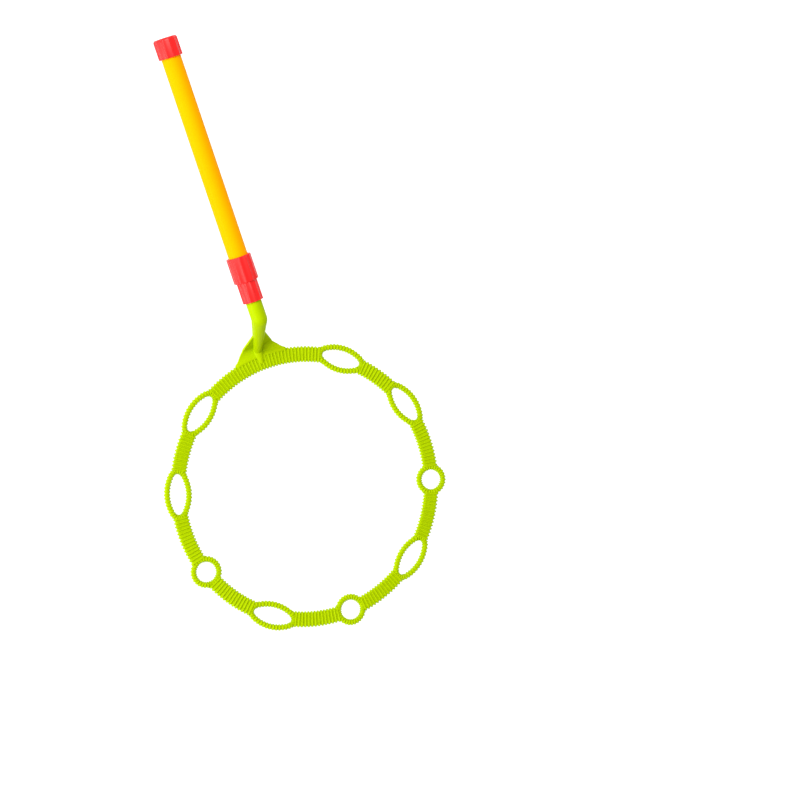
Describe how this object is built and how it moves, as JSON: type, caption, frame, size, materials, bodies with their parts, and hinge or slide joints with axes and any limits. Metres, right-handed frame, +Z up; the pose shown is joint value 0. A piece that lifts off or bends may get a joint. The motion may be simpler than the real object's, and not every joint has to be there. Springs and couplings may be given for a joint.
{
  "type": "bubble wand",
  "caption": "Long-handled giant bubble wand: ribbed hoop with small round and oval bubble loops let into its rim, cranked stem, fluted collar, tube handle and end cap.",
  "frame": {"origin": "middle of the underside of the bounding box, as the wand lies flat on its hoop", "axes": "+Y towards the handle's end cap, +Z up from the hoop's underside, +X to the right seen from above with the handle ahead"},
  "size_m": [0.2678, 0.5744, 0.0685],
  "materials": {
    "head_plastic": "gloss lime-green moulded plastic",
    "collar_plastic": "gloss red moulded plastic",
    "tube_plastic": "satin yellow extruded plastic",
    "cap_plastic": "gloss red moulded plastic"
  },
  "bodies": {
    "head": {"oval_loop_1": "head_plastic", "oval_loop_2": "head_plastic", "round_loop_3": "head_plastic", "oval_loop_4": "head_plastic", "round_loop_5": "head_plastic", "oval_loop_6": "head_plastic", "round_loop_7": "head_plastic", "oval_loop_8": "head_plastic", "oval_loop_9": "head_plastic", "hoop_bar_1": "head_plastic", "hoop_bar_2": "head_plastic", "hoop_bar_3": "head_plastic", "hoop_bar_4": "head_plastic", "hoop_bar_5": "head_plastic", "hoop_bar_6": "head_plastic", "hoop_bar_7": "head_plastic", "hoop_bar_8": "head_plastic", "foot_bar": "head_plastic", "stem": "head_plastic", "stem_web": "head_plastic"},
    "collar": {"collar": "collar_plastic"},
    "tube": {"handle_tube": "tube_plastic"},
    "cap": {"end_cap": "cap_plastic"}
  },
  "joints": [
    {"name": "handle_pull", "type": "slide", "parent": "head", "child": "collar", "axis": [0, 0.9983, 0.0576], "range_m": [0, 0.018]},
    {"name": "tube_turn", "type": "hinge", "parent": "collar", "child": "tube", "pos_m": [0, 0.06055, 0.04437], "axis": [0, 0.9983, 0.0576], "continuous": true},
    {"name": "cap_pull", "type": "slide", "parent": "tube", "child": "cap", "axis": [0, 0.9983, 0.0576], "range_m": [0, 0.012]}
  ]
}
